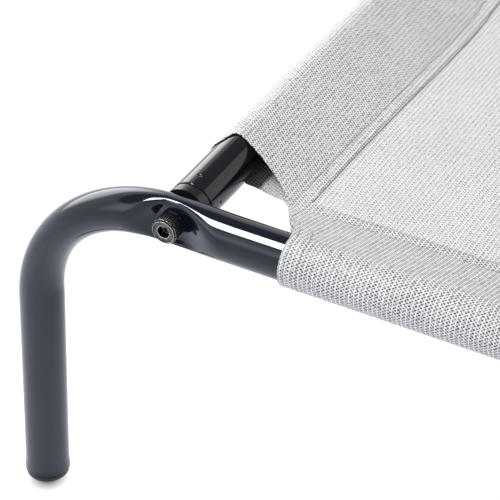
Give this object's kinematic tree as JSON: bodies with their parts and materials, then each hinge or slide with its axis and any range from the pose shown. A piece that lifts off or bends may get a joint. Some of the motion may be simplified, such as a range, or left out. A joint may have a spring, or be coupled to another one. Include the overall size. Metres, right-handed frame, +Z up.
{
  "type": "elevated pet bed",
  "caption": "Raised pet bed: bent tube side frames with legs, bolted end rails and a stretched woven mesh cover held on by sleeves.",
  "frame": {"origin": "on the floor, under the middle of the bed", "axes": "+X along the long side frames, +Y across the bed, +Z up"},
  "size_m": [1.3, 0.8026, 0.1984],
  "materials": {
    "frame_paint": "glossy dark slate powder coat",
    "rail_paint": "glossy dark slate powder coat",
    "insert_black": "dark moulded plastic, half gloss",
    "screw_steel": "dull zinc-plated steel",
    "foot_plastic": "dark matt plastic",
    "mesh_cloth": "light grey open-weave coated mesh"
  },
  "bodies": {
    "root": {"side_frame_front": "frame_paint", "side_frame_back": "frame_paint", "end_rail_left": "rail_paint", "end_rail_right": "rail_paint", "rail_insert_front_left": "insert_black", "rail_insert_front_right": "insert_black", "rail_insert_back_left": "insert_black", "rail_insert_back_right": "insert_black", "screw_front_left": "screw_steel", "screw_front_right": "screw_steel", "screw_back_left": "screw_steel", "screw_back_right": "screw_steel", "foot_plug_front_left": "foot_plastic", "foot_plug_front_right": "foot_plastic", "foot_plug_back_left": "foot_plastic", "foot_plug_back_right": "foot_plastic", "cover_panel": "mesh_cloth", "cover_sleeve_front": "mesh_cloth", "cover_sleeve_back": "mesh_cloth", "cover_sleeve_left": "mesh_cloth", "cover_sleeve_right": "mesh_cloth"}
  },
  "joints": []
}
